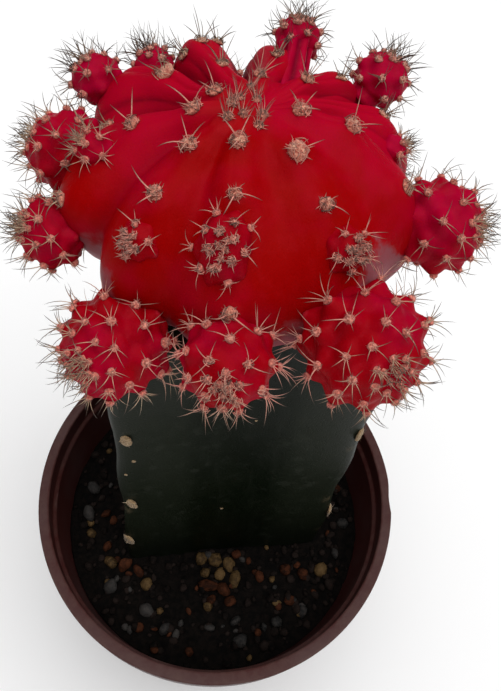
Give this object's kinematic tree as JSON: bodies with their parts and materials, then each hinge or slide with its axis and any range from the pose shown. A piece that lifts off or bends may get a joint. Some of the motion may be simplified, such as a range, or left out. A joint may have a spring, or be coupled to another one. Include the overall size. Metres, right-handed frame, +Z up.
{
  "type": "potted moon cactus",
  "caption": "Small grafted cactus: a ribbed red head ringed with spiny offsets on a three-ribbed green stock, standing in a round plastic nursery pot of gritty soil.",
  "frame": {"origin": "centre of the pot's flat base, on the surface the pot stands on", "axes": "+Z up along the pot and the stock, -Y towards the side that shows the stock's flat front face, +X to the right of that side"},
  "size_m": [0.064, 0.0683, 0.1344],
  "materials": {
    "pot_plastic": "dull brown-mauve moulded plastic",
    "potting_mix": "damp dark soil with pale grit",
    "stock_skin": "dark green waxy cactus skin",
    "head_skin": "saturated red cactus skin with a soft sheen",
    "offset_skin": "crimson cactus skin with a soft sheen"
  },
  "bodies": {
    "root": {"pot": "pot_plastic", "soil": "potting_mix", "rootstock": "stock_skin", "scion_head": "head_skin", "offset_low_left": "offset_skin", "offset_low_front": "offset_skin", "offset_low_right": "offset_skin", "offset_right": "offset_skin", "offset_left": "offset_skin", "offset_back_left": "offset_skin", "offset_left_small": "offset_skin", "offset_upper_left": "offset_skin", "offset_back": "offset_skin", "offset_top": "offset_skin", "offset_upper_right": "offset_skin", "offset_right_small": "offset_skin", "offset_front_left": "offset_skin", "offset_front": "offset_skin", "offset_front_right": "offset_skin", "offset_rear": "offset_skin", "offset_rear_right": "offset_skin", "offset_rear_left": "offset_skin"}
  },
  "joints": []
}
